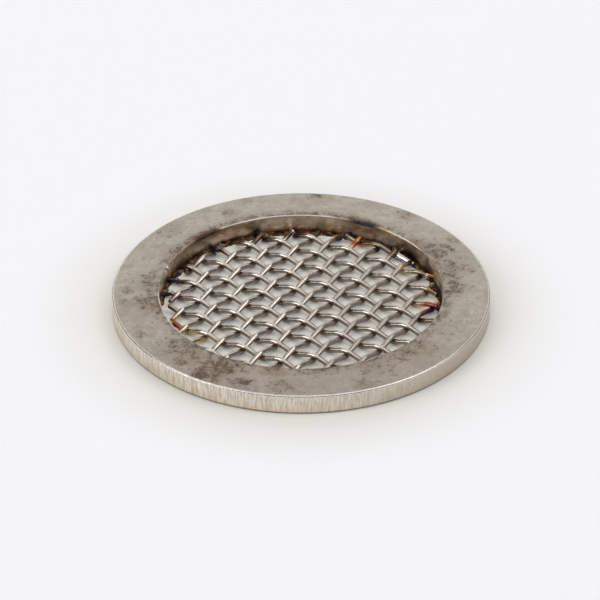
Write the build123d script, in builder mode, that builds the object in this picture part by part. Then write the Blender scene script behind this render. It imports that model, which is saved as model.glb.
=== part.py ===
"""Inlet filter screen: a flat steel ring with a disc of plain-woven wire cloth tacked into its bore.

Millimetres. The origin is the centre of the ring's underside, and +Z is up. The cloth lies at the
bottom of the bore, flush with the underside.
"""

from build123d import *
from math import ceil, cos, floor, radians, sin, sqrt
import os

# Ring
ring_diameter = 54.0
bore_diameter = 40.5
ring_thickness = 2.9
rim_chamfer = 0.2
bore_chamfer = 0.12

# Strike marks, where the welding rod touched the bore's top edge
right_strike_angle = 62.5
right_strike_length = 3.8
left_strike_angle = 133.5
left_strike_length = 4.4
strike_depth = 0.28

# Wire cloth
wire_diameter = 0.71
wire_flats = 10
warp_spacing = 3.12
weft_spacing = 3.32
warp_angle = 54.1
skew_angle = 86.3
crown_length = 0.5
crossing_x = -0.44
crossing_y = -1.49
cloth_rise = 0.05

# Round outline to which the cloth is cut: its mean gap inside the bore, and its centre
cut_gap = 0.85
cut_x = 0.4
cut_y = -0.5
shortest_wire = 7.5
count_to_middle = 6

# Weld tacks
tack_bite = 0.45
tack_rise = 0.04
tack_root = 0.3
tack_flats = 10
nose_share = 0.45

# Each tack's wire, counted from the middle one, the end that it holds, and its radius in wire diameters
tack_list = [
    ("warp", -2, "first", 0.93),
    ("warp", 1, "first", 0.873),
    ("warp", 4, "first", 0.958),
    ("warp", -5, "last", 1.014),
    ("warp", -4, "last", 0.901),
    ("weft", 2, "first", 0.873),
    ("weft", -1, "first", 0.986),
    ("weft", -2, "first", 1.042),
    ("weft", -4, "first", 0.873),
    ("weft", 6, "first", 0.845),
    ("weft", 6, "last", 1.183),
    ("weft", 5, "last", 0.93),
    ("weft", 3, "last", 1.042),
    ("weft", 0, "last", 0.93),
    ("weft", -2, "last", 0.873),
]

# Worked out from the sizes above
bore_radius = bore_diameter / 2
wire_radius = wire_diameter / 2
cut_radius = bore_radius - cut_gap
cloth_middle = cloth_rise + wire_diameter
half_crown = crown_length / 2
weft_angle = warp_angle - skew_angle
cut_centre = Vector(cut_x, cut_y)
crossing = Vector(crossing_x, crossing_y)


def heading(angle):
    """Unit vector in plan."""
    return Vector(cos(radians(angle)), sin(radians(angle)))


class Family:
    """One set of parallel wires: its direction, its crossings along each wire and its neighbours."""

    def __init__(self, name, angle, next_angle, along_pitch, next_pitch, over_first):
        self.name = name
        self.along = heading(angle)
        self.to_next = heading(next_angle) * next_pitch
        self.pitch = along_pitch
        self.over_first = over_first

    def foot(self, number):
        """Place on the wire that is crossing number 0, and the cut's two ends measured from it."""
        start = crossing + self.to_next * number
        middle = (cut_centre - start).dot(self.along)
        aside = (cut_centre - start - self.along * middle).length + wire_radius
        half = sqrt(max(cut_radius**2 - aside**2, 0))
        return start, middle - half, middle + half

    def numbers(self):
        """Every wire of the family that is long enough to stay in the weave."""
        reach = ceil(bore_diameter / self.to_next.length)
        kept = []
        for number in range(-reach, reach + 1):
            start, first, last = self.foot(number)
            if last - first > shortest_wire:
                kept.append(number)
        return kept

    def height(self, number, crossing_number):
        """Centreline height at a crossing: over and under by turns."""
        over = (number + crossing_number + self.over_first) % 2 == 0
        return cloth_middle + (wire_radius if over else -wire_radius)

    def route(self, number):
        """Centreline: a flat crown at each crossing, straight slopes between them, and the cut ends.

        An end that would lie within a wire's radius of a bend stops at that bend.
        """
        start, first, last = self.foot(number)
        bends = []
        for step in range(floor(first / self.pitch) - 1, ceil(last / self.pitch) + 2):
            for side in (-half_crown, half_crown):
                bends.append((step * self.pitch + side, self.height(number, step)))
        stations = [bend for bend in bends if first < bend[0] < last]
        if stations[0][0] - first > wire_radius:
            stations.insert(0, (first, level(bends, first)))
        if last - stations[-1][0] > wire_radius:
            stations.append((last, level(bends, last)))
        return [start + self.along * run + Vector(0, 0, z) for run, z in stations]


def level(bends, run):
    """Height of the centreline at a distance along it, between two bends."""
    for (run_a, z_a), (run_b, z_b) in zip(bends, bends[1:]):
        if run_a <= run <= run_b:
            return z_a + (z_b - z_a) * (run - run_a) / (run_b - run_a)
    raise ValueError("the distance lies outside the bends")


warp = Family("warp", warp_angle, weft_angle, weft_spacing, warp_spacing, 1)
weft = Family("weft", weft_angle, warp_angle, warp_spacing, weft_spacing, 0)

# Ring
with BuildPart() as ring:
    with BuildSketch():
        Circle(ring_diameter / 2)
        Circle(bore_radius, mode=Mode.SUBTRACT)
    extrude(amount=ring_thickness)
    rims = ring.edges().filter_by(GeomType.CIRCLE).group_by(SortBy.RADIUS)
    chamfer(rims[-1], rim_chamfer)
    chamfer(rims[0], bore_chamfer)
    strikes = [(right_strike_angle, right_strike_length), (left_strike_angle, left_strike_length)]
    for angle, length in strikes:
        scoop_radius = (length / 2) ** 2 / (2 * strike_depth) + strike_depth / 2
        edge_point = heading(angle) * bore_radius + Vector(0, 0, ring_thickness)
        lift = (Vector(0, 0, 1) - heading(angle)).normalized() * (scoop_radius - strike_depth)
        with Locations(edge_point + lift):
            Sphere(scoop_radius, mode=Mode.SUBTRACT)
ring.part.label = "ring"

# Wires: a round wire drawn with flats, so that two crowns seat flat on each other
wires = []
for family in (warp, weft):
    for number in family.numbers():
        points = family.route(number)
        lead = points[1] - points[0]
        with BuildPart() as wire:
            with BuildLine():
                Polyline(*points)
            with BuildSketch(Plane(points[0], x_dir=lead.cross(Vector(0, 0, 1)), z_dir=lead)):
                RegularPolygon(wire_radius, wire_flats, False, rotation=90 - 180 / wire_flats)
            sweep(transition=Transition.RIGHT)
        wire.part.label = f"{family.name}_wire_{count_to_middle + number:02d}"
        wires.append(wire.part)

# Weld tacks: each is a drop round a wire's cut end that runs out to the bore's wall
tacks = []
for place, (name, number, end, swell) in enumerate(tack_list, start=1):
    family = {"warp": warp, "weft": weft}[name]
    if number in family.numbers():
        radius = swell * wire_diameter
        tip = family.route(number)[{"first": 0, "last": -1}[end]]
        level_tip = Vector(tip.X, tip.Y)
        outward = level_tip.normalized()
        nose_reach = level_tip.length - tack_bite
        nose = outward * nose_reach + Vector(0, 0, max(tip.Z, radius) + tack_rise)
        length = bore_radius + tack_root - nose_reach
        with BuildPart() as tack:
            with BuildSketch(Plane(nose, x_dir=outward.cross(Vector(0, 0, 1)), z_dir=outward)):
                RegularPolygon(radius, tack_flats, False, rotation=90 - 180 / tack_flats)
            extrude(amount=length)
            nose_face = tack.faces().sort_by(Axis(nose, outward))[0]
            chamfer(nose_face.edges(), radius * nose_share)
            add(ring.part, mode=Mode.SUBTRACT)
            for neighbour in [*wires, *tacks]:
                if neighbour.distance_to(nose) < length + radius:
                    add(neighbour, mode=Mode.SUBTRACT)
        tack.part.label = f"weld_tack_{place:02d}"
        tacks.append(tack.part)

os.makedirs("parts", exist_ok=True)
for piece in [ring.part, *wires, *tacks]:
    export_step(piece, f"parts/{piece.label}.step")
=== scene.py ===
"""Inlet filter screen: the looks of a flat steel ring with woven wire cloth tacked into its bore.

The solids come packed, as the frame. Each is replaced here by a finer piece of the same form in the
same place: a turned ring with worn edges, round crimped wires, and melted weld tacks. One short wire,
the soot crust and two drops of spatter have no solid, and are made here alone.
"""

from math import asin, atan, cos, hypot, pi, radians, sin, tan

import bpy
from bpy.props import FloatProperty, FloatVectorProperty, IntProperty, PointerProperty
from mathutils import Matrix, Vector


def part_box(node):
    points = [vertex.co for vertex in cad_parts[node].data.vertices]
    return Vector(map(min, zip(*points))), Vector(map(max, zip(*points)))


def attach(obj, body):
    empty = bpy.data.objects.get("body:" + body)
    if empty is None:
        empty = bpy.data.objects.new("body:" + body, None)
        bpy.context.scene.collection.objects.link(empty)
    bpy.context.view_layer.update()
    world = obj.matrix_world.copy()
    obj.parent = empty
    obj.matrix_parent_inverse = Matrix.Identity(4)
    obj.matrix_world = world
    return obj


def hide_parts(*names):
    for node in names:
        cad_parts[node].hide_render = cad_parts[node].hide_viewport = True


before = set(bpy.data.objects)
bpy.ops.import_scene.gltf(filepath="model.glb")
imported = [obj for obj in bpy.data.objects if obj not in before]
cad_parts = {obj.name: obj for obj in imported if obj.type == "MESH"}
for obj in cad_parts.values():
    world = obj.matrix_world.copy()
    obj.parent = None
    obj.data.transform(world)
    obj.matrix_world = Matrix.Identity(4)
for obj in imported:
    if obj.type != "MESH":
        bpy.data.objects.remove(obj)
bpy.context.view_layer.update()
MM = 0.001
RING_LOW, RING_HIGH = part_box("ring")
TOP = RING_HIGH.z
RGB = {"size": 3, "subtype": "COLOR"}

bl_info = {
    "name": "Inlet Filter Screen",
    "version": (1, 0, 0),
    "blender": (4, 5, 0),
    "location": "View3D > Sidebar > Filter Screen",
    "description": "Models a weld-tacked wire screen in a flat ring, with its finishes and its stage",
    "category": "Add Mesh",
}


class RingSettings(bpy.types.PropertyGroup):
    """Sizes and colours of the ring."""

    radius: FloatProperty(
        name="Radius", description="Outside radius", default=RING_HIGH.x - 0.01 * MM, unit="LENGTH"
    )
    bore: FloatProperty(name="Bore", description="Radius of the bore", default=20.25 * MM, unit="LENGTH")
    rim_round: FloatProperty(
        name="Rim round", description="Worn round of the outside edges", default=0.2 * MM, unit="LENGTH"
    )
    bore_round: FloatProperty(
        name="Bore round", description="Worn round of the bore's edges", default=0.13 * MM, unit="LENGTH"
    )
    strike_depth: FloatProperty(
        name="Strike depth", description="Depth of the rod's strike marks", default=0.28 * MM, unit="LENGTH"
    )
    wear: FloatProperty(
        name="Wear", description="Depth of the nicks in the edges", default=0.05 * MM, unit="LENGTH"
    )
    steel: FloatVectorProperty(name="Steel", description="Matt plate", default=(0.575, 0.535, 0.47), **RGB)
    dull_steel: FloatVectorProperty(
        name="Dull steel", description="Mottling", default=(0.4, 0.36, 0.305), **RGB
    )
    haze: FloatVectorProperty(name="Haze", description="Brown haze", default=(0.26, 0.185, 0.125), **RGB)
    # Stain: brown freckles, and also the painted contact shadow along the foot of the turned side
    stain_and_shade: FloatVectorProperty(
        name="Stain", description="Brown freckles", default=(0.14, 0.098, 0.072), **RGB
    )
    # Turned is the side's painted lit colour; Turned, dull is both its marks and its painted shaded colour
    turned: FloatVectorProperty(name="Turned", description="Turned side", default=(0.94, 0.87, 0.78), **RGB)
    turned_dull_and_shade: FloatVectorProperty(
        name="Turned, dull", description="Marks across the side", default=(0.56, 0.5, 0.425), **RGB
    )
    # Worn: bright worn edges, partly a painted highlight along them
    worn_and_highlight: FloatVectorProperty(name="Worn", description="Bright worn edges", default=(0.95, 0.9, 0.82), **RGB)
    # Straw: a warm tint of the steel, laid only on the lit side, where it is partly a painted golden sheen
    straw_and_sheen: FloatVectorProperty(
        name="Straw", description="Warm tint on the side", default=(0.84, 0.66, 0.45), **RGB
    )
    bore_steel: FloatVectorProperty(
        name="Bore steel", description="Bore's upper part", default=(0.95, 0.8, 0.66), **RGB
    )
    bore_brown: FloatVectorProperty(
        name="Bore brown", description="Stains in the bore", default=(0.7, 0.53, 0.385), **RGB
    )


class ClothSettings(bpy.types.PropertyGroup):
    """Sizes and colours of the wire cloth."""

    wire_radius: FloatProperty(
        name="Wire radius", description="Half a wire's thickness", default=0.38 * MM, unit="LENGTH"
    )
    warp_spacing: FloatProperty(
        name="Warp spacing", description="From warp wire to warp wire", default=3.12 * MM, unit="LENGTH"
    )
    weft_spacing: FloatProperty(
        name="Weft spacing", description="From weft wire to weft wire", default=3.32 * MM, unit="LENGTH"
    )
    warp_angle: FloatProperty(
        name="Warp angle", description="Direction of the warp", default=radians(54.1), subtype="ANGLE"
    )
    skew_angle: FloatProperty(
        name="Skew angle", description="From weft to warp", default=radians(86.3), subtype="ANGLE"
    )
    crossing: FloatVectorProperty(
        name="Crossing", description="Crossing of the two middle wires",
        default=(-0.44 * MM, -1.49 * MM), size=2, unit="LENGTH",
    )
    middle: FloatProperty(
        name="Middle", description="Height at which the wires touch", default=0.785 * MM, unit="LENGTH"
    )
    warp_bend: FloatProperty(
        name="Warp bend", description="Radius of a warp wire's crowns", default=1.3 * MM, unit="LENGTH"
    )
    weft_bend: FloatProperty(
        name="Weft bend", description="Radius of a weft wire's crowns", default=2.6 * MM, unit="LENGTH"
    )
    sides: IntProperty(name="Sides", description="Flats round a wire", default=18, min=8, max=32)
    steel: FloatVectorProperty(name="Steel", description="Bright wire", default=(0.7, 0.64, 0.57), **RGB)
    # Drawn lines: the colour of the lines along a wire, and of the painted shade on the warp toward the
    # right
    drawn_lines_and_shade: FloatVectorProperty(
        name="Drawn lines", description="Lines along a wire", default=(0.46, 0.41, 0.355), **RGB
    )
    # Film: thin dirt on the lower wire, and painted shade low near the crossings
    film_and_shade: FloatVectorProperty(
        name="Film", description="Thin dirt on the lower wire", default=(0.36, 0.295, 0.235), **RGB
    )
    # Grime: dirt at the crossings, and the painted shade that falls there
    grime_and_shade: FloatVectorProperty(
        name="Grime", description="Dirt at the crossings", default=(0.24, 0.165, 0.115), **RGB
    )
    # Underside: painted shade on the lower side of each wire
    painted_underside_shade: FloatVectorProperty(
        name="Underside", description="Dark lower side of a wire", default=(0.25, 0.21, 0.175), **RGB
    )


class WeldSettings(bpy.types.PropertyGroup):
    """Unevenness and grain of the weld tacks and of the soot crust."""

    lump: FloatProperty(name="Lump", description="Unevenness of a bead", default=0.16 * MM, unit="LENGTH")
    grain: FloatProperty(
        name="Grain", description="Size of a bead's facets", default=0.06 * MM, unit="LENGTH"
    )
    crust_step: FloatProperty(
        name="Crust step", description="Degrees between two sections of the crust", default=1.0
    )
    crust_grain: FloatProperty(
        name="Crust grain", description="Size of the crust's facets", default=0.09 * MM, unit="LENGTH"
    )
    crust_lump: FloatProperty(
        name="Crust lump", description="Unevenness of the crust", default=0.7 * MM, unit="LENGTH"
    )


class StageSettings(bpy.types.PropertyGroup):
    """Camera, lamps and floor."""

    distance: FloatProperty(
        name="Distance", description="From the ring's top to the camera", default=371.5 * MM, unit="LENGTH"
    )
    elevation: FloatProperty(
        name="Elevation", description="Camera's height as an angle", default=radians(32.55),
        subtype="ANGLE",
    )
    lens: FloatProperty(name="Lens", description="Focal length in millimetres", default=156.04)
    shift_x: FloatProperty(name="Shift X", description="Sideways shift", default=-0.00195)
    shift_y: FloatProperty(name="Shift Y", description="Upward shift", default=-0.0195)
    floor: FloatVectorProperty(name="Floor", description="Pale floor", default=(0.9, 0.9, 0.93), **RGB)
    # Floor near: painted shade, darker and yellower, on the floor in and near the ring
    floor_near_shaded: FloatVectorProperty(
        name="Floor near", description="Floor near the ring", default=(0.88, 0.855, 0.765), **RGB
    )
    glow: FloatProperty(name="Glow", description="Brightness added to the far floor as seen", default=0.235)
    glow_near: FloatProperty(
        name="Glow near", description="Brightness added to the floor near the ring", default=0.1
    )
    room: FloatProperty(name="Room", description="Light from the room", default=0.16)
    softbox: FloatProperty(name="Softbox", description="Light of the softboxes", default=1.0)


class Value:
    """A number or colour in a shader, which Python expressions can use."""

    def __init__(self, shader, socket):
        self.shader = shader
        self.socket = socket

    def maths(self, operation, *values, **settings):
        """A Math node that takes the value first."""
        settings["operation"] = operation
        return self.shader.node("ShaderNodeMath", settings, self, *values)

    def __add__(self, other):
        return self.maths("ADD", other)

    def __sub__(self, other):
        return self.maths("SUBTRACT", other)

    def __rsub__(self, other):
        return self.shader.node("ShaderNodeMath", {"operation": "SUBTRACT"}, other, self)

    def __mul__(self, other):
        return self.maths("MULTIPLY", other)

    def __truediv__(self, other):
        return self.maths("DIVIDE", other)

    __radd__ = __add__
    __rmul__ = __mul__

    def larger(self, other):
        return self.maths("MAXIMUM", other)

    def size(self):
        return self.maths("ABSOLUTE")

    def held(self):
        """The value kept between 0 and 1."""
        return self.maths("ADD", 0.0, use_clamp=True)

    def step(self, low, high):
        """0 at low and 1 at high, with a soft step between them."""
        settings = {"interpolation_type": "SMOOTHSTEP"}
        return self.shader.node("ShaderNodeMapRange", settings, self, low, high)


class Shader:
    """A material in the making: its nodes, its colour so far, and the point shaded, in millimetres."""

    def __init__(self, name):
        self.material = bpy.data.materials.new(name)
        self.material.use_nodes = True
        self.tree = self.material.node_tree
        self.tree.nodes.clear()
        here = self.node("ShaderNodeTexCoord", {}, out="Object")
        self.place = self.vectors("SCALE", here, Scale=1 / MM)
        self.colour = None

    def node(self, kind, settings, *values, out=0, **named):
        """Adds a node: its settings first, then its sockets in order or by name. Gives one output."""
        made = self.tree.nodes.new(kind)
        for name, value in settings.items():
            setattr(made, name, value)
        pairs = list(zip(made.inputs, values))
        pairs += [(made.inputs[name.replace("_", " ")], value) for name, value in named.items()]
        for socket, value in pairs:
            if isinstance(value, Value):
                self.tree.links.new(value.socket, socket)
            else:
                socket.default_value = value
        return Value(self, made.outputs[out] if made.outputs else None)

    def vectors(self, operation, *values, **named):
        """A Vector Math node."""
        return self.node("ShaderNodeVectorMath", {"operation": operation}, *values, **named)

    def parts(self, vector):
        """A vector's three numbers."""
        split = self.node("ShaderNodeSeparateXYZ", {}, vector)
        return [Value(self, socket) for socket in split.socket.node.outputs]

    def joined(self, x, y, z):
        return self.node("ShaderNodeCombineXYZ", {}, x, y, z)

    def turned(self, vector, angle):
        """A vector as seen from a piece that is turned about Z."""
        return self.node("ShaderNodeMapping", {}, Vector=vector, Rotation=(0, 0, -angle))

    def noise(self, scale, detail=3.0, roughness=0.55, vector=None):
        """A cloudy noise, whose scale is per millimetre."""
        return self.node(
            "ShaderNodeTexNoise", {}, Vector=vector or self.place, Scale=scale, Detail=detail,
            Roughness=roughness,
        )

    def distance(self, vector, point=(0, 0, 0)):
        return self.vectors("DISTANCE", vector, point, out="Value")

    def mixed(self, factor, first, second):
        """A colour between two colours, which are a Mix node's inputs 6 and 7 and its output 2."""
        result = self.node("ShaderNodeMix", {"data_type": "RGBA"}, factor, out=2)
        for socket, colour in zip(result.socket.node.inputs[6:8], (first, second)):
            if isinstance(colour, Value):
                self.tree.links.new(colour.socket, socket)
            else:
                socket.default_value = (*colour, 1)
        return result

    def ramp(self, factor, stops):
        """A colour from a row of stops, each a place and a colour."""
        result = self.node("ShaderNodeValToRGB", {}, factor)
        band = result.socket.node.color_ramp.elements
        for place, _ in stops[2:]:
            band.new(place)
        for element, (place, colour) in zip(band, stops):
            element.position = place
            element.color = (*colour, 1)
        return result

    def lay(self, factor, colour):
        """Lays a coat of a colour over what is there, as thick as the factor says."""
        self.colour = self.mixed(factor, self.colour, colour)

    def metal(self, roughness, height, depth):
        """Ends the material as a metal with a bumped surface, whose depth is in millimetres."""
        bump = self.node("ShaderNodeBump", {}, Strength=1.0, Distance=depth * MM, Height=height)
        surface = self.node(
            "ShaderNodeBsdfPrincipled", {}, Base_Color=self.colour, Metallic=1.0, Roughness=roughness,
            Normal=bump,
        )
        self.node("ShaderNodeOutputMaterial", {}, Surface=surface)
        return self.material


# Colours of a thin skin on heated steel, by heat from 0 to 1
TINTS = [
    (0.0, (0.7, 0.64, 0.57)),
    (0.2, (0.7, 0.52, 0.3)),
    (0.36, (0.55, 0.28, 0.09)),
    (0.5, (0.36, 0.08, 0.035)),
    (0.62, (0.22, 0.08, 0.16)),
    (0.76, (0.085, 0.1, 0.17)),
    (1.0, (0.03, 0.03, 0.035)),
]

# Tinted places, in millimetres: the point, how far the heat reached and how hot it was
TINTED = [
    ((7.9, 15.2, 1.0), 1.4, 0.62),
    ((8.6, 16.1, 1.0), 1.4, 0.62),
    ((9.1, 16.8, 1.1), 1.3, 0.6),
    ((10.6, 15.3, 1.1), 1.6, 0.26),
    ((15.4, 8.6, 1.3), 2.2, 0.3),
    ((18.4, 1.3, 1.0), 2.0, 0.34),
    ((19.2, 5.3, 1.0), 2.4, 0.34),
    ((18.4, -2.7, 0.5), 3.2, 0.9),
    ((14.9, 11.7, 0.8), 1.7, 0.95),
    ((7.0, 16.2, 0.8), 1.1, 0.85),
    ((-17.7, -6.4, 0.9), 2.6, 0.64),
    ((-15.8, -8.6, 0.9), 1.9, 0.26),
    ((-13.6, -10.8, 0.9), 2.0, 0.4),
]

# Scorched places, in millimetres: the point, how far the soot reached and how dark it is
SCORCHED = [
    ((-12.4, 13.4, 0.8), 2.0, 1.0),
    ((-18.3, 4.8, 0.8), 2.2, 1.0),
    ((-19.3, 1.1, 0.8), 2.2, 0.9),
    ((-6.1, 17.9, 0.8), 2.6, 0.9),
    ((-1.4, 18.8, 0.5), 2.0, 0.7),
    ((5.6, 17.6, 0.5), 2.6, 0.9),
    ((10.4, 15.8, 0.5), 1.8, 0.8),
    ((15.6, 12.0, 0.6), 3.2, 1.0),
    ((18.2, 7.8, 0.5), 2.6, 0.9),
    ((19.2, 2.6, 0.5), 2.4, 0.85),
    ((19.0, -4.4, 0.5), 2.6, 0.95),
    ((17.7, -6.8, 0.6), 1.8, 0.7),
    ((-19.4, -2.2, 0.5), 2.0, 0.9),
    ((-16.4, 9.0, 0.6), 2.4, 0.75),
    ((2.5, 19.2, 0.3), 2.4, 0.7),
    ((16.5, 11.8, 2.0), 3.0, 0.5),
    ((11.4, 15.2, 1.0), 1.5, 1.0),
    ((16.8, -4.8, 0.6), 1.7, 0.85),
    ((-5.2, 17.2, 0.9), 2.6, 0.95),
    ((-0.5, 18.2, 0.9), 2.2, 0.85),
    ((-17.5, 9.8, 1.0), 2.4, 0.6),
]

# Smudges on the ring's top, in millimetres: place, size and depth of colour
SMUDGES = [
    ((-22.6, -11.7), 0.45, 0.7),
    ((-10.9, -19.5), 2.1, 1.0),
    ((-13.0, -22.5), 1.6, 1.0),
    ((-8.2, -23.7), 0.9, 1.0),
    ((-16.5, -18.0), 0.8, 0.65),
    ((-15.4, -15.0), 1.9, 0.85),
    ((-2.8, -24.4), 1.0, 0.5),
    ((10.1, -19.6), 1.5, 0.55),
    ((15.1, -15.4), 1.8, 0.65),
    ((8.2, -23.6), 0.6, 0.6),
    ((18.8, -9.4), 1.8, 0.4),
    ((21.0, 0.4), 1.6, 0.85),
    ((20.6, 5.0), 1.9, 0.75),
    ((18.8, 10.0), 1.9, 0.8),
    ((-21.3, 1.5), 1.5, 0.8),
    ((-20.6, -3.8), 1.7, 0.85),
    ((-19.6, 15.6), 1.2, 0.3),
    ((-10.6, 21.2), 0.7, 0.5),
    ((-8.4, 24.9), 0.6, 0.45),
    ((1.9, 26.1), 0.7, 0.7),
    ((16.0, 20.5), 1.0, 0.5),
    ((22.3, 13.4), 0.9, 0.4),
    ((22.0, 9.6), 1.6, 0.3),
    ((24.5, 5.0), 0.5, 0.6),
    ((-24.8, -0.6), 0.6, 0.55),
    ((-24.4, -4.0), 0.8, 0.45),
]

# Strike marks on the bore's top edge: direction in degrees, length in millimetres and colour
STRIKES = [(62.5, 3.8, (0.06, 0.06, 0.068)), (133.5, 4.6, (0.09, 0.062, 0.05))]

# Half the width of a strike mark, and how far the nicks of an edge reach
STRIKE_WIDTH = 0.75 * MM
EDGE_WIDTH = 0.3 * MM

# Direction from the axis, in degrees, in which the turned side is painted lightest as lit, with painted
# shade away from it
PAINTED_LIGHT_SIDE = -130

# Rusty smears on the bore's wall: middle and half the length in degrees, and height in millimetres
RUSTY = [
    (127, 6, 2.2), (117, 7, 1.9), (98, 12, 0.8), (76, 10, 1.0), (62, 7, 1.8), (38, 9, 1.2), (22, 8, 1.0),
]

# Bright runs of the bore's top edge, partly worn and partly a painted highlight: their middle and half their
# length in degrees, and colour
LIP_WEAR_AND_HIGHLIGHT = [
    (118, 13, (0.95, 0.9, 0.82)),
    (53, 7, (0.95, 0.7, 0.4)),
    (40, 11, (0.95, 0.87, 0.75)),
    (90, 28, (0.8, 0.76, 0.7)),
    (200, 20, (0.8, 0.76, 0.7)),
]

# The tacks in their nodes' order: the wire and the end of it that each holds, its radius at the wire and
# at the wall in millimetres, and its finish
TACKS = [
    ("warp", 4, "first", 0.46, 0.46, "Bronze bead"),
    ("warp", 7, "first", 0.5, 0.5, "Bronze bead"),
    ("warp", 10, "first", 0.52, 0.5, "Bronze bead"),
    ("warp", 1, "last", 0.42, 0.46, "Soot crust"),
    ("warp", 2, "last", 0.46, 0.24, "Bright bead"),
    ("weft", 8, "first", 0.54, 0.2, "Scorched bead"),
    ("weft", 5, "first", 0.4, 0.46, "Scorched bead"),
    ("weft", 4, "first", 0.24, 0.48, "Soot crust"),
    ("weft", 2, "first", 0.42, 0.3, "Red bead"),
    ("weft", 12, "first", 0.42, 0.4, "Blue bead"),
    ("weft", 12, "last", 0.54, 0.3, "Glossy bead"),
    ("weft", 11, "last", 0.4, 0.32, "Straw bead"),
    ("weft", 9, "last", 0.44, 0.36, "Blue bead"),
    ("weft", 6, "last", 0.5, 0.46, "Bronze bead"),
    ("weft", 4, "last", 0.5, 0.46, "Bronze bead"),
]

# Tacks whose bead runs on past the wire's end, by their number: how far in X and Y, in millimetres
RUN_ON = {11: (2.6, -2.5)}

# A bead's drops, share of the beads' unevenness and rounds of smoothing, if it is short or runs on
SHORT_BEAD = (7, 1.0, 2)
LONG_BEAD = (20, 0.4, 12)

# Flats of one round drop, before it melts into the others
DROP_FLATS = {"segments": 20, "ring_count": 12}

# Bright drops of spatter, and dark lumps in the crust: direction in degrees, and distance from the
# ring's axis, height and radius in millimetres
SPATTER = [(163, 20.27, 2.62, 0.27), (166, 20.25, 2.5, 0.21)]
LUMPS = [(42.5, 18.7, 0.75, 0.6), (108.2, 18.7, 0.8, 0.55), (45.0, 19.6, 0.9, 0.6)]

# Runs of soot crust along the bore's foot: where each begins and ends in degrees, and how far it
# reaches inward and upward in millimetres
CRUSTS = [
    (-12, 30, 0.75, 0.34),
    (22, 75, 1.0, 0.42),
    (68, 158, 0.95, 0.34),
    (150, 180, 0.6, 0.34),
    (178, 196, 0.4, 0.3),
]

# Coolest and hottest part of each kind of bead, its roughness, and how strongly bare metal is painted on its
# top as a sheen
BEADS = {
    "Bright bead": (0.0, 0.06, 0.12, 0.95),
    "Straw bead": (0.08, 0.36, 0.18, 0.2),
    "Bronze bead": (0.44, 1.3, 0.42, 0.0),
    "Red bead": (0.5, 0.58, 0.28, 0.0),
    "Blue bead": (0.55, 1.1, 0.2, 0.0),
    "Glossy bead": (0.74, 0.82, 0.09, 0.85),
    "Scorched bead": (0.78, 1.3, 0.2, 0.06),
}

# Colours of bare melted metal, painted on beads' tops as a sheen, of rust, and of burnt oil and soot on each
# piece, with painted shade at the bore's foot and painted glints
SHEEN_AND_BARE_METAL = (0.95, 0.93, 0.9)
RUST = (0.45, 0.25, 0.1)
SCORCH = (0.2, 0.125, 0.075)
SOOT = (0.035, 0.028, 0.028)
STRIKE_SCORCH = (0.23, 0.14, 0.085)
WIRE_SCORCH = (0.19, 0.125, 0.08)
WIRE_SOOT = (0.035, 0.028, 0.027)
FOOT_SCORCH = (0.27, 0.155, 0.08)
FOOT_GLINT = (0.6, 0.32, 0.12)
FOOT_SOOT_AND_SHADE = (0.042, 0.03, 0.024)
CRUST_SCORCH = (0.24, 0.13, 0.062)
CRUST_SCORCH_LEFT = (0.26, 0.17, 0.105)
CRUST_GLINT = (0.7, 0.48, 0.28)
CRUST_SOOT = (0.05, 0.034, 0.027)

# Grey tooth of the paper that the floor is laid with, and how much bluer than white the floor glows
PAPER_TOOTH = (0.8, 0.8, 0.8)
GLOW_BLUE = 1.03

# How far a family's wires are painted duller and darker toward the right, as shade where no highlight
# falls on them, the lean at which the painted shade on their underside begins and ends, and how sooty
# their ends are
WIRE_LOOKS = {"warp": (1.0, (0.3, -0.1), 1.0), "weft": (0.0, (0.52, 0.05), 0.35)}

# Centre of the round to which the cloth is cut, in millimetres, and the cut wires' worn round with the
# room that it needs
CUT_CENTRE = (0.4, -0.5, 0.0)
CUT_ROUND = 0.05 * MM
CUT_ROOM = 0.065 * MM

# Waves in the long wire that others are cut from
WAVES = 8

# Edges that turn by more than this stay sharp
SHARP_ANGLE = radians(40)

# Softboxes: direction round the ring from the front and height in degrees, size in metres and
# brightness, and how far off they stand
LAMPS = [
    ("left_softbox", -70, 38, 0.5, 2.6),
    ("right_softbox", 90, 50, 0.5, 2.0),
    ("back_panel", 180, 34, 0.65, 1.25),
    ("ceiling", 0, 84, 0.95, 0.85),
]
LAMP_DISTANCE = 0.9

# Name of the attribute that keeps how far each point of a wire faces upward
UPWARD = "upward"

# Labels of the wires count up to this at the middle one
WIRES_TO_MIDDLE = 6

# The family that crosses each
CROSSED = {"warp": "weft", "weft": "warp"}

# Short wires that the solids leave out, by their number from the middle one: where each begins and ends
# along it, in millimetres
SHORT_WIRES = {"warp": {-6: (-0.9, 6.0)}, "weft": {}}


def strongest(shader, spots, ripple):
    """The strongest at a point of some round spots with ragged edges, each from 0 to its own peak."""
    total = None
    for point, reach, peak in spots:
        near = (1 - (shader.distance(shader.place, point) + ripple) / reach).held() * peak
        total = near if total is None else total.larger(near)
    return total


def burn(shader, grain):
    """Lays the tints and the scorching of the tacks over the colour. Gives how strong they are."""
    tint = strongest(shader, TINTED, (grain - 0.5) * 1.6)
    shader.lay(tint.step(0.03, 0.22), shader.ramp(tint, TINTS))
    scorch = strongest(shader, SCORCHED, (grain - 0.5) * 3.0)
    shader.lay(scorch.step(0.0, 0.5) * 0.75, SCORCH)
    shader.lay(scorch.step(0.42, 0.8) * 0.9, SOOT)
    return tint.larger(scorch)


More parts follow.
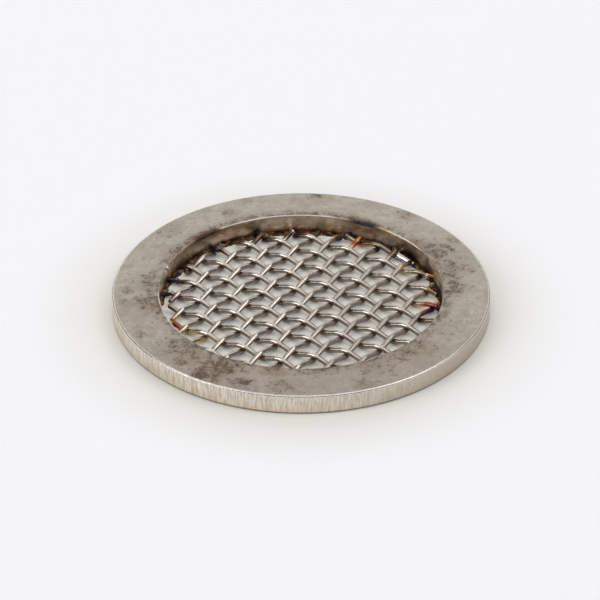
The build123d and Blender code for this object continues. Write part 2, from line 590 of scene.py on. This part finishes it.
def ring_finish(ring):
    """Matt plate: mottled and smudged, scorched in the bore, painted lighter on its lit side, with a painted
    contact shadow at the side's foot, and bright along its edges with wear and painted highlights.
    """
    shader = Shader("Worn plate")
    x, y, z = shader.parts(shader.place)
    plan = shader.joined(x, y, 0.0)
    out = shader.distance(plan)
    bore, rim, top = ring.bore / MM, ring.radius / MM, TOP / MM

    def toward(degrees):
        """1 in one direction from the axis, 0 square to it and -1 opposite."""
        return (x * cos(radians(degrees)) + y * sin(radians(degrees))) / out

    def along_run(middle, reach, full):
        """1 in the middle of a run round the ring, and 0 at its ends, which lie a reach away."""
        return toward(middle).step(cos(radians(reach)), cos(radians(reach * full)))

    cloud = shader.noise(0.2, 5.0, 0.6)
    patch = shader.noise(0.75, 4.0, 0.6)
    speck = shader.noise(3.3, 5.0, 0.7)
    grit = shader.noise(6.0, 3.0, 0.7)
    tone = cloud * 0.3 + patch * 0.35 + grit * 0.35
    shader.colour = shader.mixed(tone.step(0.4, 0.6), ring.dull_steel, ring.steel)
    front = y.step(-8.0, -20.0) * 0.25
    shader.lay(cloud.step(0.46, 0.64) * 0.4 + front, ring.haze)

    # Dirt on the top: hazes, and freckles that crowd together in them
    haze = out.step(bore + 2.6, bore) * patch.step(0.3, 0.55) * 0.9
    ragged = (patch - 0.5) * 2.2
    for (spot_x, spot_y), size, depth in SMUDGES:
        gap = shader.distance(plan, (spot_x, spot_y, 0)) / (size * 1.9)
        haze = haze.larger((1.3 + ragged - gap).step(0, 1) * depth)
    haze = haze * z.step(top - 0.4, top - 0.05)
    dirt = (patch - 0.5) + (speck - 0.5) * 1.6 + (grit - 0.5) * 1.2 + haze * 0.34
    freckle = dirt.step(0.13, 0.56)
    shader.lay(haze * patch.step(0.25, 0.6) * 0.7, ring.haze)
    shader.lay(freckle * 0.8, ring.stain_and_shade)

    # The turned side, with fine marks across its edge, painted lighter at the front left where the light
    # falls and painted darker in shade away from it
    side = out.step(rim - 0.35, rim - 0.12)
    grain = shader.noise(3.6, 4.0, 0.7, shader.joined(x, y, z * 0.12))
    painted_lit_facing = toward(PAINTED_LIGHT_SIDE).step(-0.13, 0.99)
    painted_lit_side = shader.mixed(painted_lit_facing, ring.turned_dull_and_shade, ring.turned)
    turned = shader.mixed(grain.step(0.3, 0.7), ring.turned_dull_and_shade, painted_lit_side)
    shader.lay(side * (1 - freckle * 0.7), turned)
    # A warm tint low on the lit side: partly the steel's own tint, partly a painted golden sheen
    straw_and_sheen = side * painted_lit_facing.step(0.5, 1.0) * z.step(2.6, 0.2) * (patch * 0.6 + grain * 0.4).step(0.38, 0.6)
    shader.lay(straw_and_sheen * 0.45, ring.straw_and_sheen)
    # Painted contact shadow: the turned side darkens along its foot
    shader.lay(side * z.step(0.4, 0.12) * 0.85, ring.stain_and_shade)
    # The side's top edge is painted bright: partly wear, partly a painted highlight
    worn_and_highlight = side * z.step(top - 0.3, top - 0.1) * 0.8
    shader.lay(worn_and_highlight * grit.step(0.3, 0.5), ring.worn_and_highlight)

    # The bore: brown stains on pale steel, dark brown then black along its foot, the black partly soot and
    # partly painted shade in the corner, with rusty smears above
    wall = out.step(bore + 0.16, bore + 0.03)
    brown = shader.mixed(patch.step(0.3, 0.65), ring.bore_brown, ring.bore_steel)
    shader.lay(wall * 0.85, brown)
    foot_dark_height = x.step(-13.0, -18.5) + 0.95
    foot = (1 - (z - 0.1 + (patch - 0.5) * 1.6) / foot_dark_height).held() * wall * y.step(-14.0, 4.0)
    shader.lay(foot.step(0.0, 0.6) * 0.8, FOOT_SCORCH)
    # Orange specks in the brown band: painted glints
    glint = foot.step(0.1, 0.35) * foot.step(0.7, 0.4) * speck.step(0.52, 0.66)
    shader.lay(glint * 0.7, FOOT_GLINT)
    # Black at the very foot: partly soot, partly painted shade where the wall meets the floor
    shader.lay(foot.step(0.56, 0.9), FOOT_SOOT_AND_SHADE)
    smear = shader.noise(1.0, 4.0, 0.65, shader.joined(x * 0.6, y * 0.6, z * 1.4))
    for middle, reach, level in RUSTY:
        band = (z - level).size().step(1.5, 0.2)
        rust = wall * along_run(middle, reach, 0.3) * band * smear.step(0.36, 0.56)
        shader.lay(rust * 0.75, RUST)
    heat = burn(shader, patch)

    # The bore's top edge is worn and painted bright as a highlight, but burnt dark at the strike marks
    lip = (out - bore).step(0.24, 0.14) * z.step(top - 0.17, top - 0.1)
    for middle, reach, bright in LIP_WEAR_AND_HIGHLIGHT:
        near = along_run(middle, reach, 0.5)
        shader.lay(lip * near * grit.step(0.25, 0.45), bright)
    angle = y.maths("ARCTAN2", x)
    across = shader.distance(shader.joined(out - bore, z - top, 0.0), (0.1, 0, 0)) * 1.5
    ragged = (speck - 0.5) * 1.1
    for direction, length, scar in STRIKES:
        along = (angle - radians(direction)) * (1.6 * bore / length)
        gap = shader.distance(shader.joined(along, across, 0.0))
        halo = (1.9 - gap * 0.8 + ragged * 1.3 + (patch - 0.5) * 1.6).step(0.0, 1.3) * 0.75
        shader.lay(halo, STRIKE_SCORCH)
        shader.lay((1 - gap + ragged).step(-0.1, 0.4), scar)
    rough = 0.5 + (grit - 0.5) * 0.3 - side * 0.14 - heat * 0.1 + freckle * 0.2 - (worn_and_highlight + lip) * 0.14
    height = grit * 0.4 + speck * 0.4 + patch * 0.2 - freckle * 0.3 + grain * side * 0.5
    return shader.metal(rough.held(), height, 0.035)


def laid(cloth, family):
    """Direction of a family's wires, the distance from wire to wire, and the radius of their crowns."""
    if family == "warp":
        return cloth.warp_angle, cloth.warp_spacing, cloth.warp_bend
    return cloth.warp_angle - cloth.skew_angle, cloth.weft_spacing, cloth.weft_bend


def crossing_gap(shader, cloth):
    """How far a point is from the nearest crossing, in millimetres in plan."""
    crossing = (cloth.crossing[0] / MM, cloth.crossing[1] / MM, 0.0)
    shifted = shader.vectors("SUBTRACT", shader.place, crossing)
    gaps = []
    for family in CROSSED:
        angle, spacing, _ = laid(cloth, family)
        aside = shader.parts(shader.turned(shifted, angle))[1]
        gaps.append(aside.maths("PINGPONG", spacing * sin(cloth.skew_angle) / MM / 2))
    return shader.distance(shader.joined(*gaps, 0.0))


def wire_finish(cloth, family):
    """Bright wire: fine lines along it, painted shade on its lower side and, for the warp, toward the right,
    dirt and painted shade at the crossings, and heat.
    """
    shade_to_right, dark_below, sooty = WIRE_LOOKS[family]
    shader = Shader(f"Drawn {family} wire")
    x, y, z = shader.parts(shader.place)
    along = shader.turned(shader.place, laid(cloth, family)[0])
    lines = shader.noise(1.6, vector=shader.vectors("MULTIPLY", along, (0.5, 9.0, 9.0)))
    speck = shader.noise(3.2, 4.0, 0.7)
    cloud = shader.noise(0.9)
    shader.colour = shader.mixed(lines.step(0.35, 0.75) * 0.75, cloth.steel, cloth.drawn_lines_and_shade)

    # Low in the cloth: a thin film of dirt and painted shade, painted shade on the undersides, and dirt and
    # painted shade at the crossings
    middle = cloth.middle / MM
    low = z.step(middle + 0.5, middle - 0.15)
    gap = crossing_gap(shader, cloth)
    # A thin film of dirt and painted shade, low in the cloth near the crossings
    film_and_shade = (gap.step(2.2, 0.5) * low * 0.75 + cloud.step(0.45, 0.75) * 0.2).held()
    shader.lay(film_and_shade, cloth.film_and_shade)
    # Painted shade: the warp wires grow duller and darker toward the right, where no highlight falls
    dull_and_shade = x.step(-3.0, 6.0) * shade_to_right
    shader.lay(dull_and_shade * 0.7, cloth.drawn_lines_and_shade)
    upward = shader.node("ShaderNodeAttribute", {"attribute_name": UPWARD}, out="Fac")
    # Painted shade: each wire is darker on its lower side, by how far it faces down
    under = upward.step(*dark_below) * (lines.step(0.25, 0.7) * 0.3 + 0.68)
    shader.lay(under, cloth.painted_underside_shade)
    # Dirt and painted shade, darkest at the crossings and low in the cloth
    dirt = ((1.05 - gap) * low + (speck - 0.5) * 1.3).step(0.05, 0.75)
    shader.lay(dirt * 0.8, cloth.grime_and_shade)

    # Soot on the wires' ends, from the right round to the back
    out = shader.distance(shader.joined(x, y, 0.0), CUT_CENTRE)
    angle = y.maths("ARCTAN2", x)
    sector = angle.step(radians(-28), radians(-8)) * angle.step(radians(132), radians(118))
    ends = out.step(17.0, 18.3) * sector
    soot = (ends * 1.2 + (speck - 0.5) * 0.8) * ends.step(0.0, 0.3) * sooty
    shader.lay(soot.step(0.15, 0.55) * 0.8, WIRE_SCORCH)
    shader.lay(soot.step(0.55, 1.0) * 0.9, WIRE_SOOT)
    burn(shader, cloud)
    rough = 0.13 + lines * 0.1 + film_and_shade * 0.12 + dirt * 0.3 + dull_and_shade * 0.25
    return shader.metal(rough.held(), lines * 0.6 + speck * 0.4, 0.012)


def bead_finish(name):
    """Melted steel with the colours of its heat, and a painted sheen of bare metal on its top."""
    low, high, rough, bright = BEADS[name]
    shader = Shader(name)
    z = shader.parts(shader.place)[2]
    swirl = shader.noise(0.85, 2.0, 0.5)
    speck = shader.noise(5.0, 4.0, 0.7)
    heat = (swirl.step(0.3, 0.7) * (high - low) + low + (speck - 0.5) * 0.12).held()
    # Painted highlight: the bead's top is laid with lighter bare metal
    painted_sheen = (z + (swirl - 0.5) * 0.8).step(0.35, 0.75) * bright
    shader.colour = shader.mixed(painted_sheen, shader.ramp(heat, TINTS), SHEEN_AND_BARE_METAL)
    rough = rough + speck.step(0.5, 0.8) * 0.3 * (1 - bright)
    return shader.metal(rough, speck, 0.015 * (1 - bright))


def crust_finish(name):
    """Burnt oil and scale: black-brown, with orange patches and a few painted glints."""
    shader = Shader(name)
    patch = shader.noise(0.7, 4.0, 0.65)
    speck = shader.noise(3.5, 4.0, 0.7)
    left = shader.parts(shader.place)[0].step(-6.0, -15.0)
    brown = shader.mixed(left, CRUST_SCORCH, CRUST_SCORCH_LEFT)
    shader.colour = shader.mixed(patch.step(0.42, 0.64), CRUST_SOOT, brown)
    # Tan specks: painted glints, made smoother too
    glint = (patch * 0.5 + speck * 0.5).step(0.56, 0.64)
    shader.lay(glint * 0.8, CRUST_GLINT)
    return shader.metal(0.5 - glint * 0.25, speck + patch * 0.5, 0.04)


def weld_finish(name):
    """A bead's or the crust's finish, made when it is first asked for."""
    if name in bpy.data.materials:
        return bpy.data.materials[name]
    return bead_finish(name) if name in BEADS else crust_finish(name)


def floor_finish(stage):
    """Pale matt paper that glows to the eye and in the metal, and more so away from the ring; near the ring
    it is painted darker and yellower as shade.
    """
    shader = Shader("Pale paper")
    away = shader.distance(shader.place).step(22.0, 42.0)
    # Near the ring the paper is painted darker and yellower, as shade under the cloth
    shader.colour = shader.mixed(away, stage.floor_near_shaded, stage.floor)
    shader.lay(shader.noise(0.8) * 0.02, PAPER_TOOTH)
    seen = shader.node("ShaderNodeLightPath", {}, out="Is Camera Ray")
    mirrored = Value(shader, seen.socket.node.outputs["Is Glossy Ray"])
    near, far = ((share, share, share * GLOW_BLUE) for share in (stage.glow_near, stage.glow))
    glow = shader.mixed(seen.larger(mirrored), (0, 0, 0), shader.mixed(away, near, far))
    surface = shader.node(
        "ShaderNodeBsdfPrincipled", {}, Base_Color=shader.colour, Roughness=0.8, Emission_Color=glow,
        Emission_Strength=1.0,
    )
    shader.node("ShaderNodeOutputMaterial", {}, Surface=surface)
    return shader.material


def mode_set(mode):
    bpy.ops.object.mode_set(mode=mode)


def mesh_select(action):
    bpy.ops.mesh.select_all(action=action)


def deselect_all():
    if bpy.context.mode != "OBJECT":
        mode_set("OBJECT")
    bpy.ops.object.select_all(action="DESELECT")


def started(name, add, **options):
    """Adds a primitive with nothing else selected, names it, and opens it in edit mode."""
    deselect_all()
    add(**options)
    piece = bpy.context.object
    piece.name = name
    piece.data.name = name
    bpy.ops.object.transform_apply(location=True, rotation=True, scale=True)
    mode_set("EDIT")
    return piece


def applied(piece, kind, **settings):
    """Gives the piece a modifier and applies it."""
    modifier = piece.modifiers.new(kind.title(), kind)
    for name, value in settings.items():
        setattr(modifier, name, value)
    bpy.ops.object.modifier_apply(modifier=modifier.name)


def clouds(name, size):
    """A cloudy texture that unevenness is taken from."""
    texture = bpy.data.textures.new(name, "CLOUDS")
    texture.noise_scale = size
    texture.noise_depth = 3
    return texture


def handed_over(piece, nodes, material):
    """The finished piece gets its material, and takes the place of its CAD nodes if it has any."""
    piece.data.materials.clear()
    piece.data.materials.append(material)
    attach(piece, "root")
    if nodes:
        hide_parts(*nodes)


def weighted(piece, name, weight):
    """Adds a vertex group whose weight at each point is worked out by a function."""
    group = piece.vertex_groups.new(name=name)
    for point in piece.data.vertices:
        share = weight(point.co)
        if share > 0:
            group.add([point.index], min(share, 1), "REPLACE")


def heading(angle):
    return Vector((cos(angle), sin(angle), 0))


def strike_weight(ring):
    """How deep the strike marks go at a point, from 0 to 1."""

    def weight(point):
        share = 0
        for direction, length, _ in STRIKES:
            outward = heading(radians(direction))
            gap = point - outward * ring.bore - Vector((0, 0, TOP))
            along = Vector((-outward.y, outward.x, 0)).dot(gap) / (length / 2 * MM)
            across = Vector((outward.dot(gap), gap.z)).length / STRIKE_WIDTH
            share = max(share, 1 - along**2 - across**2)
        return share

    return weight


def edge_weight(ring):
    """1 on the ring's round edges, and 0 a little way off them."""

    def weight(point):
        out = hypot(point.x, point.y)
        radial = min(abs(out - ring.radius), abs(out - ring.bore))
        upright = min(abs(point.z - RING_LOW.z), abs(point.z - TOP))
        return 1 - hypot(radial, upright) / EDGE_WIDTH

    return weight


def piece_centre(piece):
    """Middle of the piece's box."""
    corners = [Vector(corner) for corner in piece.bound_box]
    return sum(corners, Vector()) / len(corners)


def select_points(piece, wanted):
    """Selects the vertices that a test picks."""
    bpy.ops.mesh.select_mode(type="VERT")
    mesh_select("DESELECT")
    mode_set("OBJECT")
    for point in piece.data.vertices:
        point.select = wanted(point.co)
    mode_set("EDIT")


def split_edges(piece, longest):
    """Divides each long edge of an outline into runs that are no longer than asked."""
    mode_set("OBJECT")
    points = piece.data.vertices
    edges = [[points[i].co.copy() for i in edge.vertices] for edge in piece.data.edges]
    mode_set("EDIT")
    for ends in edges:
        cuts = int((ends[0] - ends[1]).length / longest)
        if cuts:
            select_points(piece, lambda point: any((point - end).length < 0.001 * MM for end in ends))
            bpy.ops.mesh.subdivide(number_cuts=cuts)


class Crimp:
    """The run of a crimped wire: round crowns, upper and lower by turns, joined by straight slopes."""

    def __init__(self, pitch, bend, rise):
        self.pitch = pitch
        self.bend = bend
        self.rise = rise
        self.slope = 0.0
        for _ in range(20):
            drop = 2 * rise - 2 * bend * (1 - cos(self.slope))
            self.slope = atan(drop / (pitch - 2 * bend * sin(self.slope)))
        self.reach = bend * sin(self.slope)

    def at(self, run):
        """Height above the middle, and lean, at a run from an upper crown."""
        number = round(run / self.pitch)
        side = 1 if number % 2 == 0 else -1
        offset = run - number * self.pitch
        lean = self.slope
        if abs(offset) < self.reach:
            lean = asin(abs(offset) / self.bend)
        height = self.rise - self.bend * (1 - cos(lean))
        height -= max(abs(offset) - self.reach, 0) * tan(self.slope)
        return side * height, side * (-lean if offset > 0 else lean)

    def stations(self):
        """Runs along one whole wave, close together on the crowns."""
        arc = [self.reach * share for share in (0, 0.25, 0.5, 0.75, 1)]
        half = arc + [self.pitch - run for run in reversed(arc)]
        return half + [self.pitch + run for run in half[1:]]

    def clear(self, run):
        """The nearest run that leaves room for a bevelled end between two stations."""
        wave = 2 * self.pitch
        begin = run // wave * wave
        stations = [begin + station for station in self.stations()]
        before = max(station for station in stations if station <= run)
        after = min(station for station in stations if station > run)
        room = min(CUT_ROOM, (after - before) / 2)
        return min(max(run, before + room), after - room)


def long_wire(cloth, name, crimp):
    """One crimped wire along X that is longer than any in the cloth, with an upper crown at its middle."""
    piece = started(
        name, bpy.ops.mesh.primitive_circle_add, vertices=cloth.sides, radius=cloth.wire_radius,
        location=(0, 0, crimp.at(0)[0]), rotation=(0, pi / 2, 0),
    )
    runs = crimp.stations()
    for here, there in zip(runs, runs[1:]):
        height, lean = crimp.at(here)
        next_height, next_lean = crimp.at(there)
        move = (there - here, 0, next_height - height)
        bpy.ops.mesh.extrude_region_move(TRANSFORM_OT_translate={"value": move})
        bpy.ops.transform.rotate(
            value=next_lean - lean, orient_axis="Y", center_override=(there, 0, next_height)
        )
    mode_set("OBJECT")
    applied(
        piece, "ARRAY", count=WAVES, use_relative_offset=False, use_constant_offset=True,
        constant_offset_displace=(2 * crimp.pitch, 0, 0), use_merge_vertices=True, merge_threshold=0.01 * MM,
    )
    mode_set("EDIT")
    mesh_select("SELECT")
    bpy.ops.transform.translate(value=(-WAVES * crimp.pitch, 0, cloth.middle))
    bpy.ops.mesh.normals_make_consistent(inside=False)
    mode_set("OBJECT")
    return piece


def wire_ends(node, along, start):
    """Runs from the start to the two ends of a wire's solid."""
    runs = [(point.co - start).dot(along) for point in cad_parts[node].data.vertices]
    return min(runs), max(runs)


def copied(master, name):
    """A copy of a piece, open in edit mode with all of it selected."""
    deselect_all()
    master.select_set(True)
    bpy.context.view_layer.objects.active = master
    bpy.ops.object.duplicate()
    piece = bpy.context.object
    piece.name = name
    piece.data.name = name
    mode_set("EDIT")
    mesh_select("SELECT")
    return piece


def weave(context, family):
    """Cuts the wires of one family from a long crimped wire, and lays each in its place."""
    cloth = context.scene.filter_cloth
    angle, spacing, bend = laid(cloth, family)
    next_angle, pitch, _ = laid(cloth, CROSSED[family])
    material = wire_finish(cloth, family)
    crimp = Crimp(pitch, bend, cloth.wire_radius)
    master = long_wire(cloth, f"long_{family}_wire", crimp)
    nodes = sorted(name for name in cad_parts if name.startswith(family))
    cuts = {int(node.split("_")[-1]) - WIRES_TO_MIDDLE: [node] for node in nodes}
    for number in (*cuts, *SHORT_WIRES[family]):
        start = Vector((*cloth.crossing, 0)) + heading(next_angle) * spacing * number
        replaced = cuts.get(number, [])
        if replaced:
            ends = wire_ends(replaced[0], heading(angle), start)
        else:
            ends = [run * MM for run in SHORT_WIRES[family][number]]
        under = (number + (family == "warp")) % 2
        piece = copied(master, f"round_{family}_wire_{number + WIRES_TO_MIDDLE:02d}")
        bpy.ops.transform.translate(value=(under * pitch, 0, 0))
        for run, side in zip(ends, ("clear_inner", "clear_outer")):
            mesh_select("SELECT")
            bpy.ops.mesh.bisect(
                plane_co=(crimp.clear(run), 0, 0), plane_no=(1, 0, 0), use_fill=True,
                threshold=0.0001 * MM, **{side: True}
            )
            bpy.ops.mesh.bevel(offset=CUT_ROUND, segments=2, affect="EDGES", clamp_overlap=True)
        mode_set("OBJECT")
        piece.location = start
        piece.rotation_euler = (0, 0, angle)
        bpy.ops.object.transform_apply(location=True, rotation=True, scale=True)
        bpy.ops.object.shade_smooth_by_angle(angle=SHARP_ANGLE)
        upward = piece.data.attributes.new(UPWARD, "FLOAT", "POINT")
        upward.data.foreach_set("value", [point.normal.z for point in piece.data.vertices])
        handed_over(piece, replaced, material)
    bpy.data.objects.remove(master)


def wire_tip(cloth, family, number, end):
    """Middle of the cut face at one end of a wire's solid."""
    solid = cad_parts[f"{family}_wire_{number:02d}"]
    points = [point.co for point in solid.data.vertices]
    along = heading(laid(cloth, family)[0])
    runs = [point.dot(along) for point in points]
    limit = min(runs) if end == "first" else max(runs)
    chosen = [point for point, run in zip(points, runs) if abs(run - limit) < 0.15 * MM]
    return sum(chosen, Vector()) / len(chosen)


def add_drop(radius, place):
    """Adds one more round drop to the piece that is being edited."""
    mesh_select("DESELECT")
    bpy.ops.mesh.primitive_uv_sphere_add(radius=radius, location=place, **DROP_FLATS)


def dropped(name, rows):
    """Starts a piece from round drops, and leaves it in edit mode with all of it selected."""
    drops = [
        (radius * MM, heading(radians(direction)) * out * MM + Vector((0, 0, height * MM)))
        for direction, out, height, radius in rows
    ]
    radius, place = drops[0]
    piece = started(
        name, bpy.ops.mesh.primitive_uv_sphere_add, radius=radius, location=place, **DROP_FLATS
    )
    for radius, place in drops[1:]:
        add_drop(radius, place)
    mesh_select("SELECT")
    return piece


def press_flat(piece):
    """Presses flat what hangs below the ring's underside."""
    level = RING_LOW.z + 0.02 * MM
    mode_set("EDIT")
    select_points(piece, lambda point: point.z < level)
    bpy.ops.transform.resize(value=(1, 1, 0), center_override=(0, 0, level))
    mode_set("OBJECT")


def lamp(name, azimuth, elevation, size, brightness):
    """A square softbox that faces the ring. At a brightness of 1 it looks as white as paper."""
    deselect_all()
    toward = Vector((sin(azimuth) * cos(elevation), -cos(azimuth) * cos(elevation), sin(elevation)))
    bpy.ops.object.light_add(type="AREA", location=toward * LAMP_DISTANCE)
    light = bpy.context.object
    light.name = name
    light.rotation_euler = toward.to_track_quat("Z", "Y").to_euler()
    light.data.shape = "SQUARE"
    light.data.size = size
    light.data.energy = brightness * pi * size**2


class FILTER_OT_ring(bpy.types.Operator):
    """Spin the ring's section round its axis, wear its edges and mark where the rod struck it"""

    bl_idname = "filter_screen.ring"
    bl_label = "Model Ring"

    def execute(self, context):
        ring = context.scene.filter_ring
        middle = (ring.radius + ring.bore) / 2
        piece = started(
            "worn_ring", bpy.ops.mesh.primitive_plane_add, size=1, location=(middle, 0, TOP / 2),
            rotation=(pi / 2, 0, 0),
        )
        size = (ring.radius - ring.bore, 1, TOP)
        bpy.ops.transform.resize(value=size, center_override=piece_centre(piece))
        bpy.ops.mesh.delete(type="ONLY_FACE")
        for round_size, outer in ((ring.rim_round, True), (ring.bore_round, False)):
            select_points(piece, lambda point: (point.x > middle) == outer)
            bpy.ops.mesh.bevel(offset=round_size, segments=3, affect="VERTICES")
        split_edges(piece, longest=0.26 * MM)
        mesh_select("SELECT")
        bpy.ops.mesh.spin(steps=480, angle=2 * pi, center=(0, 0, 0), axis=(0, 0, 1))
        mesh_select("SELECT")
        bpy.ops.mesh.remove_doubles(threshold=0.005 * MM)
        bpy.ops.mesh.normals_make_consistent(inside=False)
        mode_set("OBJECT")
        weighted(piece, "strikes", strike_weight(ring))
        weighted(piece, "edges", edge_weight(ring))
        applied(piece, "DISPLACE", vertex_group="strikes", strength=-ring.strike_depth, mid_level=0.0)
        applied(
            piece, "DISPLACE", vertex_group="strikes", texture=clouds("scar", 0.5 * MM),
            strength=-ring.strike_depth, mid_level=0.2,
        )
        applied(
            piece, "DISPLACE", vertex_group="edges", texture=clouds("nicks", 0.8 * MM),
            strength=-ring.wear, mid_level=0.0,
        )
        bpy.ops.object.shade_smooth_by_angle(angle=SHARP_ANGLE)
        handed_over(piece, ["ring"], ring_finish(ring))
        return {"FINISHED"}


class FILTER_OT_warp(bpy.types.Operator):
    """Crimp the warp wires and lay them"""

    bl_idname = "filter_screen.warp"
    bl_label = "Lay Warp Wires"

    def execute(self, context):
        weave(context, "warp")
        return {"FINISHED"}


class FILTER_OT_weft(bpy.types.Operator):
    """Crimp the weft wires and lay them over and under the warp"""

    bl_idname = "filter_screen.weft"
    bl_label = "Lay Weft Wires"

    def execute(self, context):
        weave(context, "weft")
        return {"FINISHED"}


class FILTER_OT_tacks(bpy.types.Operator):
    """Melt a bead round each tacked wire end and run it to the bore's wall"""

    bl_idname = "filter_screen.tacks"
    bl_label = "Melt Weld Tacks"

    def execute(self, context):
        weld = context.scene.filter_weld
        bore = context.scene.filter_ring.bore
        lumps = clouds("bead_lumps", 0.6 * MM)
        for number, (family, wire, end, tip_size, wall_size, finish) in enumerate(TACKS, start=1):
            node = f"weld_tack_{number:02d}"
            tip = wire_tip(context.scene.filter_cloth, family, wire, end)
            foot = tip.xy.to_3d()
            reach = foot.normalized() * max(bore - foot.length, 0.1 * MM)
            run_on = RUN_ON.get(number)
            steps, unevenness, smoothing = LONG_BEAD if run_on else SHORT_BEAD
            piece = started(
                f"melted_{node}", bpy.ops.mesh.primitive_uv_sphere_add, segments=24, ring_count=16,
                radius=tip_size * MM, location=foot + Vector((0, 0, max(tip.z, tip_size * MM))),
            )
            for share in [step / steps for step in range(1, steps + 1)]:
                radius = (tip_size + (wall_size - tip_size) * share) * MM
                drop = foot + reach * share
                drop.z = max(tip.z * (1 - 0.3 * share), radius * 0.9)
                add_drop(radius, drop)
                if run_on:
                    drop = tip + Vector((*run_on, 0)) * MM * share
                    drop.z = tip.z + (0.4 * MM - tip.z) * share
                    add_drop(tip_size * MM * (1 - 0.25 * share**3), drop)
            mode_set("OBJECT")
            applied(piece, "REMESH", mode="VOXEL", voxel_size=weld.grain)
            applied(piece, "SMOOTH", factor=0.6, iterations=4)
            applied(piece, "DISPLACE", texture=lumps, strength=weld.lump * unevenness, mid_level=0.5)
            applied(piece, "SMOOTH", factor=0.5, iterations=smoothing)
            press_flat(piece)
            bpy.ops.object.shade_smooth()
            handed_over(piece, [node], weld_finish(finish))
        return {"FINISHED"}


class FILTER_OT_crust(bpy.types.Operator):
    """Run a crust of soot along the foot of the bore, and land two drops of spatter on its top edge"""

    bl_idname = "filter_screen.crust"
    bl_label = "Run Soot Crust"

    def execute(self, context):
        weld = context.scene.filter_weld
        bore = context.scene.filter_ring.bore
        drops = dropped("spatter", SPATTER)
        bpy.ops.mesh.normals_make_consistent(inside=False)
        mode_set("OBJECT")
        bpy.ops.object.shade_smooth()
        handed_over(drops, [], weld_finish("Bright bead"))
        piece = dropped("soot_crust", LUMPS)
        # Blender turns and spins clockwise for a positive angle
        for begin, end, inward, upward in CRUSTS:
            mesh_select("DESELECT")
            bpy.ops.mesh.primitive_circle_add(
                vertices=12, radius=1 * MM, location=(bore, 0, 0), rotation=(pi / 2, 0, 0),
                fill_type="NGON",
            )
            bpy.ops.transform.resize(value=(inward, 1, upward), center_override=(bore, 0, 0))
            bpy.ops.transform.rotate(
                value=-radians(begin), orient_axis="Z", orient_type="GLOBAL", center_override=(0, 0, 0)
            )
            steps = int((end - begin) / weld.crust_step)
            bpy.ops.mesh.spin(steps=steps, angle=radians(begin - end), center=(0, 0, 0), axis=(0, 0, 1))
        mesh_select("SELECT")
        bpy.ops.mesh.normals_make_consistent(inside=False)
        mode_set("OBJECT")
        applied(piece, "REMESH", mode="VOXEL", voxel_size=weld.crust_grain)
        applied(
            piece, "DISPLACE", texture=clouds("crust_lumps", 0.9 * MM), strength=weld.crust_lump,
            mid_level=0.55,
        )
        applied(piece, "SMOOTH", factor=0.5, iterations=2)
        press_flat(piece)
        bpy.ops.object.shade_smooth()
        handed_over(piece, [], weld_finish("Soot crust"))
        return {"FINISHED"}


class FILTER_OT_stage(bpy.types.Operator):
    """Set up the camera, the softboxes and a pale floor"""

    bl_idname = "filter_screen.stage"
    bl_label = "Set Stage"

    def execute(self, context):
        stage = context.scene.filter_stage
        deselect_all()
        back = Vector((0, -cos(stage.elevation), sin(stage.elevation)))
        bpy.ops.object.camera_add(
            location=back * stage.distance + Vector((0, 0, TOP)), rotation=(pi / 2 - stage.elevation, 0, 0)
        )
        camera = context.object
        camera.name = "view"
        camera.data.lens = stage.lens
        camera.data.sensor_width = 36
        camera.data.shift_x = stage.shift_x
        camera.data.shift_y = stage.shift_y
        camera.data.clip_start = 0.01
        context.scene.camera = camera

        deselect_all()
        bpy.ops.mesh.primitive_plane_add(size=6, location=(0, 0, 0))
        floor = context.object
        floor.name = "floor"
        floor.data.materials.append(floor_finish(stage))

        for name, azimuth, elevation, size, brightness in LAMPS:
            lamp(name, radians(azimuth), radians(elevation), size, brightness * stage.softbox)

        world = bpy.data.worlds.new("room")
        context.scene.world = world
        world.use_nodes = True
        light = world.node_tree.nodes["Background"].inputs
        light["Color"].default_value = (1, 1, 1, 1)
        light["Strength"].default_value = stage.room
        context.scene.view_settings.view_transform = "Standard"
        return {"FINISHED"}


class FILTER_PT_panel(bpy.types.Panel):
    """The steps, in their order"""

    bl_idname = "FILTER_PT_panel"
    bl_label = "Filter Screen"
    bl_space_type = "VIEW_3D"
    bl_region_type = "UI"
    bl_category = "Filter Screen"

    def draw(self, context):
        for step in STEPS:
            self.layout.operator(step.bl_idname)


STEPS = (
    FILTER_OT_stage, FILTER_OT_ring, FILTER_OT_warp, FILTER_OT_weft, FILTER_OT_tacks, FILTER_OT_crust,
)
SETTINGS = {
    "filter_ring": RingSettings,
    "filter_cloth": ClothSettings,
    "filter_weld": WeldSettings,
    "filter_stage": StageSettings,
}


def register():
    for kind in (*SETTINGS.values(), *STEPS, FILTER_PT_panel):
        bpy.utils.register_class(kind)
    for name, kind in SETTINGS.items():
        setattr(bpy.types.Scene, name, PointerProperty(type=kind))


def unregister():
    for name in SETTINGS:
        delattr(bpy.types.Scene, name)
    for kind in reversed((*SETTINGS.values(), *STEPS, FILTER_PT_panel)):
        bpy.utils.unregister_class(kind)


def main():
    """Makes every piece."""
    register()
    bpy.ops.filter_screen.stage()
    bpy.ops.filter_screen.ring()
    bpy.ops.filter_screen.warp()
    bpy.ops.filter_screen.weft()
    bpy.ops.filter_screen.tacks()
    bpy.ops.filter_screen.crust()
    deselect_all()


if __name__ == "__main__":
    main()
